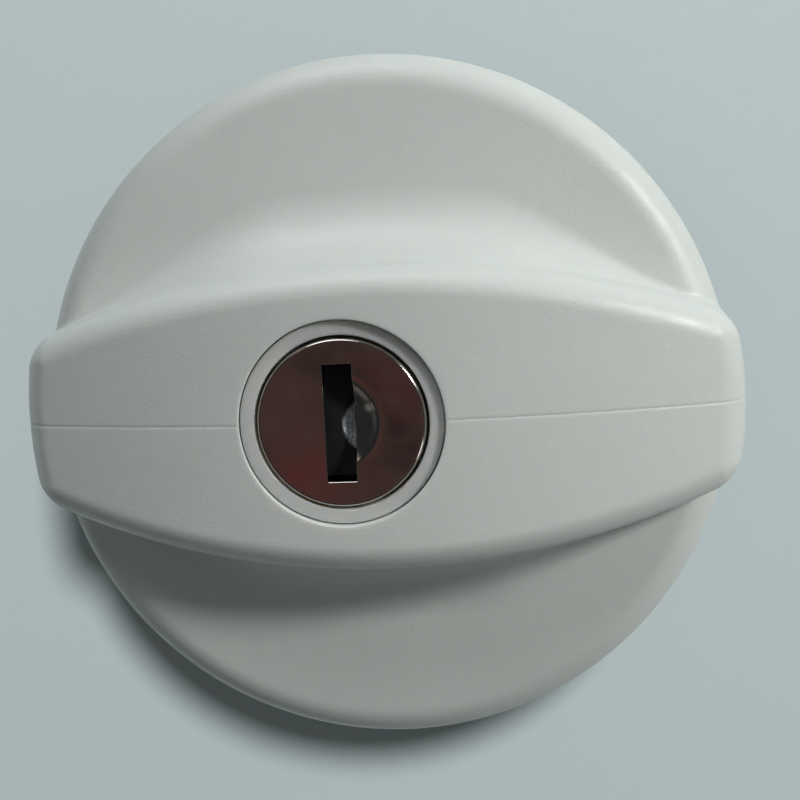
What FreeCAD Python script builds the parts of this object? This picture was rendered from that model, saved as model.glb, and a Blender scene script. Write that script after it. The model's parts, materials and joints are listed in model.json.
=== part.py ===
import FreeCAD, Part
import math
import os
import re

import Sketcher
from FreeCAD import Placement, Rotation, Vector

# A keyed twist cap. +Z is the cap's axis, pointing out of the grip. The grip bar runs along X.
# Z is measured from the flat underside of the neck, on which the cap stands.
# The lock barrel stands on its own axis, parallel to Z and a little to one side of it.
# Every length is in millimetres and every angle in degrees.
SIZES = {
    # knob: a round disc with a raised grip bar across it
    "disc_radius": 30.0,
    "knob_foot": 17.0,
    "disc_top": 26.7,
    "wall": 2.4,
    "bar_crest": 35.2,
    "bar_half_width": 12.5,
    "bar_side_radius": 78.0,
    "bar_arch_radius": 96.0,
    "bar_draft": 3.0,
    "bar_end_radius": 30.7,
    "bar_corner_fillet": 4.5,
    "bar_edge_fillet": 2.2,
    "bar_seam_fillet": 3.0,
    "rim_fillet": 2.8,
    # lock axis and the sleeve that holds the plug
    "lock_x": -2.5,
    "ring_top": 34.5,
    "ring_foot": 31.5,
    "ring_radius": 8.4,
    "ring_gap": 0.1,
    "ring_edge_fillet": 0.15,
    "sleeve_radius": 7.8,
    "sleeve_foot": 12.5,
    "plug_bore": 6.3,
    "counterbore_radius": 7.2,
    "counterbore_floor": 32.4,
    "boss_foot": 29.8,
    "boss_wall": 2.2,
    "clip_thickness": 0.6,
    "clip_width": 2.2,
    "clip_groove_radius": 7.15,
    "lug_width": 2.0,
    "lug_reach": 1.1,
    "lug_play": 0.15,
    "bore_play": 0.05,
    "clip_gap": 3.6,
    "clip_play": 0.1,
    "channel_play": 0.2,
    # plug and its stamped face
    "face_top": 34.7,
    "face_sheet": 0.35,
    "face_radius": 6.95,
    "face_foot": 32.6,
    "face_edge_fillet": 0.3,
    "slot_width": 2.4,
    "slot_length": 9.7,
    "slot_offset": -0.15,
    "keyway_floor": 15.2,
    "dish_radius": 6.0,
    "dish_outline": 3.81,
    "dish_offset": -0.77,
    "plug_radius": 6.25,
    "plug_foot": 10.8,
    "circlip_foot": 11.6,
    "circlip_thickness": 0.7,
    "circlip_groove_radius": 5.4,
    "circlip_radius": 8.2,
    "circlip_gap": 3.0,
    "tang_width": 5.0,
    # shutter behind the key slot
    "chamber_floor": 27.8,
    "chamber_left": -3.5,
    "chamber_right": 2.2,
    "chamber_half_length": 5.2,
    "shutter_pin_x": -2.55,
    "shutter_pin_z": 32.3,
    "shutter_pin_radius": 0.4,
    "shutter_pin_length": 11.0,
    "pin_hole_spare": 0.4,
    "shutter_barrel": 0.7,
    "shutter_edge": 1.75,
    "shutter_half_length": 4.6,
    "shutter_spring_room": 1.7,
    "shutter_wire": 0.13,
    "shutter_spring_turns": 3.0,
    "shutter_leg_room": 0.45,
    "flap_leg": 2.6,
    "wall_leg": 2.2,
    "coil_play": 0.08,
    "coil_gap": 0.03,
    "shutter_dish_x": 2.1,
    "shutter_dish_radius": 2.3,
    "shutter_dish_depth": 0.45,
    # wafers and their springs
    "wafer_top": 26.7,
    "wafer_pitch": 2.5,
    "wafer_thickness": 1.0,
    "wafer_half_width": 3.4,
    "wafer_radius": 6.2,
    "wafer_travel": 0.8,
    "wafer_window": 8.1,
    "wafer_ear": 1.35,
    "wafer_ear_half": 0.6,
    "wafer_spring_radius": 0.6,
    "wafer_spring_wire": 0.17,
    "wafer_spring_turns": 4.0,
    "spring_pocket_end": 3.4,
    "wafer_play": 0.05,
    "ear_play": 0.15,
    "window_play": 0.1,
    # cam, bolts and the plate that holds them down
    "cam_foot": 8.8,
    "cam_radius": 10.8,
    "cam_tab_radius": 13.0,
    "cam_tab_half_angle": 8.0,
    "cam_slot_half": 1.15,
    "pin_radius": 1.0,
    "pin_start": 4.5,
    "pin_inset": 0.4,
    "bolt_travel": 3.5,
    "bolt_foot": 3.2,
    "bolt_top": 6.8,
    "bolt_width": 8.0,
    "bolt_inner": 3.2,
    "bolt_outer": 18.7,
    "bolt_chamfer": 0.8,
    "bolt_play": 0.15,
    "plate_foot": 7.0,
    "plate_top": 8.2,
    "plate_radius": 17.2,
    "plate_hole": 3.4,
    "plate_slot_half": 1.25,
    "stop_radius": 1.0,
    "stop_circle": 12.1,
    "stop_gap": 0.3,
    # neck, seal and screws
    "neck_radius": 20.0,
    "neck_bore": 17.5,
    "neck_floor": 2.0,
    "neck_chamfer": 0.8,
    "seat_radius": 20.5,
    "seat_rise": 0.5,
    "flange_foot": 17.5,
    "flange_top": 19.5,
    "flange_radius": 27.3,
    "gasket_foot": 15.5,
    "gasket_radius": 26.5,
    "groove_depth": 1.2,
    "groove_width": 3.2,
    "groove_foot": 3.4,
    "groove_turn": 40.0,
    "rail_width": 2.5,
    "rail_end": 14.6,
    "pad_top": 3.0,
    "post_radius": 2.6,
    "post_left": -13.5,
    "post_right": 12.5,
    "neck_screw_circle": 23.4,
    "neck_screw_radius": 1.5,
    "neck_screw_head": 2.8,
    "neck_screw_tip": 24.0,
    "screw_boss_radius": 3.2,
    "plate_screw_radius": 1.0,
    "plate_screw_head": 1.9,
    "plate_screw_tip": 3.0,
    "cam_screw_radius": 1.5,
    "cam_screw_head": 2.8,
    "cam_screw_head_height": 1.5,
    "cam_screw_tip": 14.0,
    "screw_chamfer": 0.5,
    "screw_play": 0.1,
    "cross_reach": 1.45,
    "cross_arm": 0.3,
    "cross_depth": 0.9,
    "small_cross_reach": 1.0,
    "small_cross_arm": 0.25,
    "small_cross_depth": 0.6,
    # a slide fit, and how far two blocks run into one another where they make one piece
    "fit_play": 0.02,
    "overlap": 0.5,
}
WAFERS = 5
WAFER_CUTS = (0.5, -0.3, 0.1, -0.5, 0.3)
NECK_SCREW_ANGLES = (45.0, 135.0, 225.0, 315.0)
BIG = 60.0
ALONG_Y = Rotation(Vector(1, 0, 0), -90)

os.makedirs("parts", exist_ok=True)
doc = FreeCAD.newDocument("keyed_cap")
nodes = []


# ---------------------------------------------------------------- sheet and helpers
def make_sheet():
    sheet = doc.addObject("Spreadsheet::Sheet", "sizes")
    for row, (alias, value) in enumerate(SIZES.items(), 1):
        sheet.set("A%d" % row, alias)
        sheet.set("B%d" % row, str(value))
        sheet.setAlias("B%d" % row, alias)
    doc.recompute()
    return sheet


sheet = make_sheet()


def bound(text):
    """An expression on the sheet: every size's name gets the sheet's name before it."""
    return re.sub(r"[a-z]\w*", lambda m: "sizes." + m.group() if m.group() in SIZES else m.group(), str(text))


def val(text):
    """The number that an expression on the sheet stands for."""
    found = sheet.evalExpression(bound(text))
    return float(getattr(found, "Value", found))


def bind(thing, **expressions):
    for prop, text in expressions.items():
        thing.setExpression(prop, bound(text))


def place(thing, at, turn=None):
    if turn is not None:
        thing.Placement = Placement(Vector(), turn)
    for axis, text in zip("xyz", at):
        if str(text) != "0":
            thing.setExpression("Placement.Base." + axis, bound(text))
    return thing


def cylinder(name, radius, height, at, turn=None):
    thing = doc.addObject("Part::Cylinder", name)
    bind(thing, Radius=radius, Height=height)
    return place(thing, at, turn)


def cone(name, low_radius, high_radius, height, at):
    thing = doc.addObject("Part::Cone", name)
    bind(thing, Radius1=low_radius, Radius2=high_radius, Height=height)
    return place(thing, at)


def box(name, low, high):
    thing = doc.addObject("Part::Box", name)
    spans = ["(%s) - (%s)" % (b, a) for a, b in zip(low, high)]
    bind(thing, Length=spans[0], Width=spans[1], Height=spans[2])
    return place(thing, low)


def tube(name, inner, outer, foot, top, x="0"):
    span = "(%s) - (%s)" % (top, foot)
    full = cylinder(name + "_full", outer, span, (x, "0", foot))
    core = cylinder(name + "_core", inner, span + " + 2", (x, "0", "(%s) - 1" % foot))
    return cut(name, full, core)


def cut(name, base, *tools):
    thing = doc.addObject("Part::Cut", name)
    thing.Base = base
    thing.Tool = tools[0] if len(tools) == 1 else fuse(name + "_tools", *tools)
    return thing


def fuse(name, *shapes):
    thing = doc.addObject("Part::MultiFuse", name)
    thing.Shapes = list(shapes)
    return thing


def common(name, *shapes):
    thing = doc.addObject("Part::MultiCommon", name)
    thing.Shapes = list(shapes)
    return thing


def group(name, shapes):
    """Like pieces kept together as separate solids of one node."""
    thing = doc.addObject("Part::Compound", name)
    thing.Links = list(shapes)
    return thing


def edge_points(edge):
    first, last = edge.FirstParameter, edge.LastParameter
    return [edge.valueAt(first + (last - first) * k / 8) for k in range(9)]


def fillet(name, base, radius, wanted):
    """Round the edges of base for which wanted(edge, points along it) is true."""
    doc.recompute()
    picked = [i for i, e in enumerate(base.Shape.Edges, 1) if wanted(e, edge_points(e))]
    if not picked:
        raise RuntimeError("no edge to round on " + name)
    thing = doc.addObject("Part::Fillet", name)
    thing.Base = base
    thing.Edges = [(i, val(radius), val(radius)) for i in picked]
    return thing


def outline(body, points, plane):
    """A closed sketch of straight lines through points, each a pair of expressions on the sheet."""
    sketch = body.newObject("Sketcher::SketchObject", body.Name + "_outline")
    flat = [f for f in body.Origin.OriginFeatures if f.Role == plane][0]
    sketch.AttachmentSupport = (flat, "")
    sketch.MapMode = "FlatFace"
    spots = [Vector(val(a), val(b), 0) for a, b in points]
    count = len(points)
    for k in range(count):
        sketch.addGeometry(Part.LineSegment(spots[k], spots[(k + 1) % count]), False)
    for k in range(count):
        sketch.addConstraint(Sketcher.Constraint("Coincident", k, 2, (k + 1) % count, 1))
    for k, pair in enumerate(points):
        for kind, text, axis in zip(("DistanceX", "DistanceY"), pair, (-2, -1)):
            if abs(val(text)) < 1e-9:
                sketch.addConstraint(Sketcher.Constraint("PointOnObject", k, 1, axis))
                continue
            index = sketch.addConstraint(Sketcher.Constraint(kind, -1, 1, k, 1, val(text)))
            sketch.setExpression("Constraints[%d]" % index, bound(text))
    return sketch


def turned(name, points, x="0"):
    """A body turned about its own Z axis from an outline of (radius, height) points."""
    body = doc.addObject("PartDesign::Body", name)
    sketch = outline(body, points, "XZ_Plane")
    turning = body.newObject("PartDesign::Revolution", name + "_turning")
    turning.Profile = sketch
    turning.ReferenceAxis = (sketch, ["V_Axis"])
    turning.Angle = 360
    return place(body, (x, "0", "0"))


def made(name, shape):
    """A piece whose shape neither a sketch nor a primitive gives, such as a coil or a scroll."""
    thing = doc.addObject("Part::Feature", name)
    thing.Shape = shape
    return thing


def node(name, thing):
    """Keep this piece as one node of the part."""
    thing.Label = name
    nodes.append(thing)
    return thing


# ---------------------------------------------------------------- knob
def bar_solid(name, inset):
    """The grip bar with square edges: lens-shaped from above, arched from the side, with curved ends."""
    low, high = "knob_foot", "bar_crest + 2"
    slope = "tan(bar_draft * 1 deg)"
    wide = "bar_side_radius - %s + (bar_crest - (%s)) * %s" % (inset, low, slope)
    slim = "bar_side_radius - %s - 2 * %s" % (inset, slope)
    span = "(%s) - (%s)" % (high, low)
    off = "bar_side_radius - bar_half_width"
    sides = [
        cone("%s_side_%s" % (name, tag), wide, slim, span, ("0", "%s(%s)" % (sign, off), low))
        for tag, sign in (("front", ""), ("back", "-"))
    ]
    arch = cylinder(
        name + "_arch", "bar_arch_radius - %s" % inset, str(2 * BIG),
        ("0", str(-BIG), "bar_crest - bar_arch_radius"), ALONG_Y,
    )
    ends = cylinder(name + "_ends", "bar_end_radius - %s" % inset, span, ("0", "0", low))
    return common(name, sides[0], sides[1], arch, ends)


def level(points, z, slack=1e-3):
    return max(abs(p.z - z) for p in points) < slack


def knob_outside():
    """A rounded disc, and the rounded bar that stands across it and a little past it at both ends."""
    foot, top = val("knob_foot"), val("disc_top")
    drum = cylinder("disc_drum", "disc_radius", "disc_top - knob_foot", ("0", "0", "knob_foot"))
    disc = fillet("disc", drum, "rim_fillet", lambda e, pts: level(pts, top) and e.Length > foot)
    bar = bar_solid("bar", "0")
    upright = fillet(
        "bar_corners", bar, "bar_corner_fillet",
        lambda e, pts: abs(min(pts[0].z, pts[-1].z) - foot) < 1e-3 and max(pts[0].z, pts[-1].z) > top,
    )
    soft = fillet("bar_soft", upright, "bar_edge_fillet", lambda e, pts: min(p.z for p in pts) > top)
    joined = fuse("knob_joined", disc, soft)
    long_edge = val("disc_radius") / 2
    near_bar = val("bar_half_width") * 1.5
    return fillet(
        "knob_outside", joined, "bar_seam_fillet",
        lambda e, pts: level(pts, top) and e.Length > long_edge and max(abs(p.y) for p in pts) < near_bar,
    )


def knob_shell():
    outside = knob_outside()
    disc_room = "disc_top - wall - knob_foot + 1"
    hollow = fuse(
        "knob_hollow",
        cylinder("disc_hollow", "disc_radius - wall", disc_room, ("0", "0", "knob_foot - 1")),
        common(
            "bar_hollow", bar_solid("bar_inner", "wall"),
            cylinder("bar_hollow_end", "disc_radius - wall", "bar_crest", ("0", "0", "knob_foot")),
        ),
    )
    skin = cut("knob_skin", outside, hollow)
    boss_height = "bar_crest - boss_foot"
    boss = common(
        "lock_boss", outside,
        cylinder("lock_boss_post", "ring_radius + boss_wall", boss_height, ("lock_x", "0", "boss_foot")),
    )
    posts = [screw_post(k, angle) for k, angle in enumerate(NECK_SCREW_ANGLES)]
    solid = fuse("knob_solid", skin, boss, *posts)
    bores = [
        cylinder("ring_bore", "ring_radius + ring_gap", "bar_crest", ("lock_x", "0", "ring_foot")),
        cylinder("sleeve_bore", "sleeve_radius + bore_play", str(BIG), ("lock_x", "0", "0")),
        box(
            "lug_notch",
            ("lock_x - sleeve_radius - lug_reach - lug_play", "-lug_width / 2 - lug_play", "boss_foot - 1"),
            ("lock_x - sleeve_radius + overlap", "lug_width / 2 + lug_play", "ring_foot"),
        ),
    ]
    holes = [
        cylinder(
            "post_hole_%d" % k, "neck_screw_radius", "neck_screw_tip - flange_top + 1",
            around(angle, "neck_screw_circle", "flange_top - 1"),
        )
        for k, angle in enumerate(NECK_SCREW_ANGLES)
    ]
    return node("knob_shell", cut("knob_shell", solid, *bores, *holes))


def around(angle, radius, z):
    """A place on a circle about the cap's axis."""
    return ("%s * cos(%s deg)" % (radius, angle), "%s * sin(%s deg)" % (radius, angle), z)


def screw_post(k, angle):
    return cylinder(
        "screw_post_%d" % k, "screw_boss_radius", "disc_top - wall - flange_top + overlap",
        around(angle, "neck_screw_circle", "flange_top"),
    )


# ---------------------------------------------------------------- sleeve and clip
def lock_sleeve():
    groove_top = "boss_foot - clip_play / 2"
    groove_foot = "boss_foot - clip_thickness - 2 * clip_play"
    body = turned("sleeve_turned", [
        ("plug_bore", "sleeve_foot"),
        ("sleeve_radius", "sleeve_foot"),
        ("sleeve_radius", groove_foot),
        ("clip_groove_radius", groove_foot),
        ("clip_groove_radius", groove_top),
        ("sleeve_radius", groove_top),
        ("sleeve_radius", "ring_foot"),
        ("ring_radius", "ring_foot"),
        ("ring_radius", "ring_top"),
        ("counterbore_radius", "ring_top"),
        ("counterbore_radius", "counterbore_floor"),
        ("plug_bore", "counterbore_floor"),
    ], "lock_x")
    top = val("ring_top")
    soft = fillet("sleeve_soft", body, "ring_edge_fillet", lambda e, pts: level(pts, top) and e.Length > 1)
    lug = box(
        "sleeve_lug",
        ("lock_x - sleeve_radius - lug_reach", "-lug_width / 2", "boss_foot + lug_play"),
        ("lock_x - plug_bore - overlap", "lug_width / 2", "ring_foot"),
    )
    channels = []
    low = "wafer_top - %d * wafer_pitch - 1" % (WAFERS - 1)
    high = "wafer_top + 1"
    half = "(wafer_half_width + channel_play)"
    for tag, sign in (("north", "+"), ("south", "-"), ("east", "+"), ("west", "-")):
        across = tag in ("north", "south")
        shift = "%s(wafer_travel + wafer_play)" % sign
        spot = ("lock_x", shift, low) if across else ("lock_x %s" % shift, "0", low)
        reach = cylinder(
            "channel_reach_" + tag, "wafer_radius + channel_play", "(%s) - (%s)" % (high, low), spot,
        )
        far = "(plug_bore + 3)"
        ends = {
            "north": (("lock_x - " + half, "0", low), ("lock_x + " + half, far, high)),
            "south": (("lock_x - " + half, "-" + far, low), ("lock_x + " + half, "0", high)),
            "east": (("lock_x", "-" + half, low), ("lock_x + " + far, half, high)),
            "west": (("lock_x - " + far, "-" + half, low), ("lock_x", half, high)),
        }[tag]
        channels.append(common("channel_" + tag, reach, box("channel_room_" + tag, *ends)))
    return node("lock_sleeve", cut("lock_sleeve", fuse("sleeve_solid", soft, lug), *channels))


def split_ring(name, inner, outer, foot, thickness, gap):
    """A flat spring ring with a gap on its -X side."""
    ring = tube(name + "_ring", inner, outer, foot, "%s + %s" % (foot, thickness), "lock_x")
    notch = box(
        name + "_gap",
        ("lock_x - (%s) - 1" % outer, "-(%s)" % gap, "(%s) - 1" % foot),
        ("lock_x", gap, "(%s) + 2" % foot),
    )
    return node(name, cut(name, ring, notch))


def sleeve_clip():
    return split_ring(
        "sleeve_clip", "clip_groove_radius + fit_play", "clip_groove_radius + clip_width",
        "boss_foot - clip_thickness - clip_play", "clip_thickness", "clip_gap",
    )


def plug_circlip():
    return split_ring(
        "plug_circlip", "circlip_groove_radius", "circlip_radius", "circlip_foot", "circlip_thickness",
        "circlip_gap",
    )


# ---------------------------------------------------------------- plug and its face
def slot_box(name, foot, top):
    return box(
        name,
        ("lock_x + slot_offset - slot_width / 2", "-slot_length / 2", foot),
        ("lock_x + slot_offset + slot_width / 2", "slot_length / 2", top),
    )


def dish_ball(name, extra):
    """The ball whose dent guides the key's tip into the slot, cut off left of the slot's right edge."""
    ball = doc.addObject("Part::Sphere", name + "_ball")
    bind(ball, Radius="dish_radius + %s" % extra)
    rise = "sqrt(dish_radius * dish_radius - dish_outline * dish_outline)"
    place(ball, ("lock_x + dish_offset", "0", "face_top + %s" % rise))
    edge = "lock_x + slot_offset + slot_width / 2"
    side = box(
        name + "_side", (edge, "-sleeve_radius", "keyway_floor"),
        ("lock_x + sleeve_radius", "sleeve_radius", "bar_crest + 1"),
    )
    return common(name, ball, side)


def plug_face_cap():
    cup = turned("face_cup", [
        ("0", "face_top - face_sheet"),
        ("face_radius - face_sheet", "face_top - face_sheet"),
        ("face_radius - face_sheet", "face_foot"),
        ("face_radius", "face_foot"),
        ("face_radius", "face_top"),
        ("0", "face_top"),
    ], "lock_x")
    top, radius = val("face_top"), val("face_radius")
    soft = fillet(
        "face_soft", cup, "face_edge_fillet",
        lambda e, pts: min(p.z for p in pts) > top - 1e-3 and e.Length > radius * 6,
    )
    flat = common(
        "dent_sheet_raw", dish_ball("dent_outer", "face_sheet"),
        cylinder("dent_limit", "face_radius - 1", "face_top - face_foot", ("lock_x", "0", "face_foot")),
    )
    solid = fuse("face_with_dent", soft, flat)
    slot = slot_box("face_slot", "boss_foot", "bar_crest + 1")
    return node("plug_face_cap", cut("plug_face_cap", solid, dish_ball("dent", "0"), slot))


def wafer_z(k):
    return "wafer_top - %d * wafer_pitch" % k


def plug():
    groove_top = "circlip_foot + circlip_thickness"
    body = turned("plug_turned", [
        ("0", "plug_foot"),
        ("plug_radius", "plug_foot"),
        ("plug_radius", "circlip_foot"),
        ("circlip_groove_radius", "circlip_foot"),
        ("circlip_groove_radius", groove_top),
        ("plug_radius", groove_top),
        ("plug_radius", "face_foot"),
        ("face_radius - face_sheet", "face_foot"),
        ("face_radius - face_sheet", "face_top - face_sheet"),
        ("0", "face_top - face_sheet"),
    ], "lock_x")
    tang = box(
        "plug_tang",
        ("lock_x - tang_width / 2", "-tang_width / 2", "cam_foot"),
        ("lock_x + tang_width / 2", "tang_width / 2", "plug_foot"),
    )
    pin_reach = "(shutter_pin_length + pin_hole_spare) / 2"
    pin_start = ("lock_x + shutter_pin_x", "-" + pin_reach, "shutter_pin_z")
    hollows = [
        slot_box("keyway", "keyway_floor", "bar_crest"),
        box(
            "shutter_chamber",
            ("lock_x + chamber_left", "-chamber_half_length", "chamber_floor"),
            ("lock_x + chamber_right", "chamber_half_length", "face_top"),
        ),
        dish_ball("dent_room", "face_sheet"),
        cylinder("shutter_pin_hole", "shutter_pin_radius", "2 * " + pin_reach, pin_start, ALONG_Y),
        cylinder("cam_screw_hole", "cam_screw_radius", "cam_screw_tip - cam_foot + 1",
                 ("lock_x", "0", "cam_foot - 1")),
    ]
    for k in range(WAFERS):
        half = "(wafer_thickness / 2 + wafer_play)"
        side = "(wafer_half_width + wafer_play)"
        hollows.append(box(
            "wafer_slot_%d" % k,
            ("lock_x - " + side, "-sleeve_radius", wafer_z(k) + " - " + half),
            ("lock_x + " + side, "sleeve_radius", wafer_z(k) + " + " + half),
        ))
        deep = "(wafer_spring_radius + wafer_spring_wire + fit_play)"
        ear_end = "lock_x + wafer_half_width + wafer_ear + ear_play"
        ear_back = "-wafer_ear_half - wafer_travel - ear_play"
        hollows.append(box(
            "spring_pocket_%d" % k,
            ("lock_x + wafer_half_width", ear_back, wafer_z(k) + " - " + deep),
            (ear_end, "spring_pocket_end", wafer_z(k) + " + " + deep),
        ))
    return node("plug", cut("plug", fuse("plug_solid", body, tang), *hollows))


# ---------------------------------------------------------------- shutter
def shutter_pin():
    spot = ("lock_x + shutter_pin_x", "-shutter_pin_length / 2", "shutter_pin_z")
    pin = cylinder("shutter_pin", "shutter_pin_radius", "shutter_pin_length", spot, ALONG_Y)
    return node("shutter_pin", pin)


def shutter():
    """A flap hung on its pin, with a shallow dish that carries on the dent in the face."""
    left = "lock_x + shutter_pin_x"
    high = "shutter_pin_z + shutter_barrel"
    barrel = cylinder(
        "shutter_barrel_post", "shutter_barrel", "2 * shutter_half_length - shutter_spring_room",
        (left, "-shutter_half_length", "shutter_pin_z"), ALONG_Y,
    )
    flap = box(
        "shutter_flap",
        (left, "-shutter_half_length", "shutter_pin_z"),
        ("lock_x + shutter_edge", "shutter_half_length - shutter_spring_room", high),
    )
    tip = box(
        "shutter_tip",
        (left + " + shutter_barrel + shutter_leg_room", "-shutter_half_length", "shutter_pin_z"),
        ("lock_x + shutter_edge", "shutter_half_length", high),
    )
    ball = doc.addObject("Part::Sphere", "shutter_dish")
    grow = "(shutter_dish_radius * shutter_dish_radius / shutter_dish_depth + shutter_dish_depth) / 2"
    bind(ball, Radius=grow)
    place(ball, ("lock_x + shutter_dish_x", "0", "%s + %s - shutter_dish_depth" % (high, grow)))
    bore = cylinder(
        "shutter_bore", "shutter_pin_radius + bore_play", "2 * sleeve_radius",
        (left, "-sleeve_radius", "shutter_pin_z"), ALONG_Y,
    )
    return node("shutter", cut("shutter", fuse("shutter_solid", barrel, flap, tip), ball, bore))


def coil(radius, wire, pitch, height):
    """A round wire wound along +Z from the origin."""
    helix = Part.makeHelix(pitch, height, radius)
    start = helix.Edges[0]
    first = start.FirstParameter
    ring = Part.Wire(Part.makeCircle(wire, start.valueAt(first), start.tangentAt(first)))
    return Part.Wire(helix.Edges).makePipeShell([ring], True, True)


def shutter_spring():
    """A torsion coil round the pin, with one leg under the flap and one down the chamber wall."""
    wire = val("shutter_wire")
    radius = val("shutter_pin_radius + coil_play") + wire
    pitch = 2 * wire + val("coil_gap")
    length = pitch * val("shutter_spring_turns")
    wound = coil(radius, wire, pitch, length)
    wound.Placement = Placement(Vector(), ALONG_Y)
    flap_leg = Part.makeCylinder(wire, val("flap_leg"), Vector(0, 0, -radius), Vector(1, 0, 0))
    wall_leg = Part.makeCylinder(wire, val("wall_leg"), Vector(-radius, length, 0), Vector(0, 0, -1))
    thing = made("shutter_spring", wound.fuse([flap_leg, wall_leg]))
    start = val("shutter_half_length - shutter_spring_room + coil_play") + wire
    spot = Vector(val("lock_x + shutter_pin_x"), start, val("shutter_pin_z"))
    thing.Placement = Placement(spot, Rotation())
    return node("shutter_spring", thing)


# ---------------------------------------------------------------- wafers
def wafer(k):
    """A flat plate with round ends, a window for the blade, and an ear for its spring."""
    foot = wafer_z(k) + " - wafer_thickness / 2"
    top = wafer_z(k) + " + wafer_thickness / 2"
    disc = cylinder("wafer_disc_%d" % k, "wafer_radius", "wafer_thickness", ("lock_x", "0", foot))
    strip = box(
        "wafer_strip_%d" % k,
        ("lock_x - wafer_half_width", "-sleeve_radius", foot),
        ("lock_x + wafer_half_width", "sleeve_radius", top),
    )
    ear = box(
        "wafer_ear_%d" % k,
        ("lock_x + wafer_half_width - overlap", "-wafer_ear_half", foot),
        ("lock_x + wafer_half_width + wafer_ear", "wafer_ear_half", top),
    )
    shift = WAFER_CUTS[k]
    half = "(slot_width / 2 + window_play)"
    window = box(
        "wafer_window_%d" % k,
        ("lock_x + slot_offset - " + half, "-wafer_window / 2 + %s" % shift, foot + " - 1"),
        ("lock_x + slot_offset + " + half, "wafer_window / 2 + %s" % shift, top + " + 1"),
    )
    plate = common("wafer_plate_%d" % k, disc, strip)
    name = "wafer_%d" % (k + 1)
    return node(name, cut(name, fuse("wafer_solid_%d" % k, plate, ear), window))


def wafer_spring(k):
    wire = val("wafer_spring_wire")
    low = val("wafer_ear_half + fit_play") + wire
    high = val("spring_pocket_end - fit_play") - wire
    wound = coil(val("wafer_spring_radius"), wire, (high - low) / val("wafer_spring_turns"), high - low)
    thing = made("wafer_spring_%d" % (k + 1), wound)
    middle = val("lock_x + wafer_half_width + wafer_ear / 2 + coil_play")
    thing.Placement = Placement(Vector(middle, low, val(wafer_z(k))), ALONG_Y)
    return node("wafer_spring_%d" % (k + 1), thing)


# ---------------------------------------------------------------- cam and bolts
def scroll_slot(start_angle):
    """A slot that moves outwards evenly as it goes round: radius grows in proportion to angle."""
    half, first, travel = val("cam_slot_half"), val("pin_start"), val("bolt_travel")
    steps = 12
    spare = 1.5

    def spot(angle, side):
        radius = first + travel * angle / 90 + side * half
        turn = math.radians(start_angle + angle)
        return Vector(radius * math.cos(turn), radius * math.sin(turn), 0)

    def edge(side):
        curve = Part.BSplineCurve()
        curve.interpolate([spot(-spare + (90 + 2 * spare) * k / steps, side) for k in range(steps + 1)])
        return curve.toShape()

    def end(angle, out):
        turn = math.radians(start_angle + angle)
        tip = spot(angle, 0) + Vector(-math.sin(turn), math.cos(turn), 0) * half * out
        return Part.Arc(spot(angle, -1), tip, spot(angle, 1)).toShape()

    rim = Part.Wire(Part.__sortEdges__([edge(-1), end(90 + spare, 1), edge(1), end(-spare, -1)]))
    depth = val("plug_foot - cam_foot")
    slot = Part.Face(rim).extrude(Vector(0, 0, depth + 2))
    slot.translate(Vector(0, 0, val("cam_foot") - 1))
    return slot


def cam_disc():
    """A scroll disc on the plug's square tang: its two slots drive the bolt pins."""
    foot, height = val("cam_foot"), val("plug_foot - cam_foot")
    disc = Part.makeCylinder(val("cam_radius"), height, Vector(0, 0, foot))
    half = math.radians(val("cam_tab_half_angle"))
    reach = val("cam_tab_radius")
    corner = Vector(reach * math.cos(half), reach * math.sin(half), foot)
    other = Vector(corner.x, -corner.y, foot)
    middle = Vector(reach, 0, foot)
    centre = Vector(0, 0, foot)
    rim = Part.Wire([
        Part.LineSegment(centre, other).toShape(),
        Part.Arc(other, middle, corner).toShape(),
        Part.LineSegment(corner, centre).toShape(),
    ])
    solid = disc.fuse(Part.Face(rim).extrude(Vector(0, 0, height)))
    wide = val("tang_width")
    square = Part.makeBox(wide, wide, height + 2, Vector(-wide / 2, -wide / 2, foot - 1))
    thing = made("cam_disc", solid.cut([square, scroll_slot(90), scroll_slot(270)]))
    thing.Placement = Placement(Vector(val("lock_x"), 0, 0), Rotation())
    return node("cam_disc", thing)


def cam_screw():
    low = "cam_foot - cam_screw_head_height"
    body = turned("cam_screw_turned", [
        ("0", low),
        ("cam_screw_head - screw_chamfer", low),
        ("cam_screw_head", low + " + screw_chamfer"),
        ("cam_screw_head", "cam_foot"),
        ("cam_screw_radius", "cam_foot"),
        ("cam_screw_radius", "cam_screw_tip - screw_chamfer"),
        ("cam_screw_radius - screw_chamfer", "cam_screw_tip"),
        ("0", "cam_screw_tip"),
    ], "lock_x")
    recess = cross_recess(
        "cam_screw", "lock_x", "0", low + " - 1", low + " + cross_depth", "cross_reach", "cross_arm",
    )
    return node("cam_screw", cut("cam_screw", body, *recess))


def cross_recess(name, x, y, low, high, reach, arm):
    """Two crossed slots for a driver, between two heights."""
    return [
        box(
            "%s_recess_%s" % (name, tag),
            ("(%s) - %s" % (x, a), "(%s) - %s" % (y, b), low),
            ("(%s) + %s" % (x, a), "(%s) + %s" % (y, b), high),
        )
        for tag, a, b in (("along", reach, arm), ("across", arm, reach))
    ]


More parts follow.
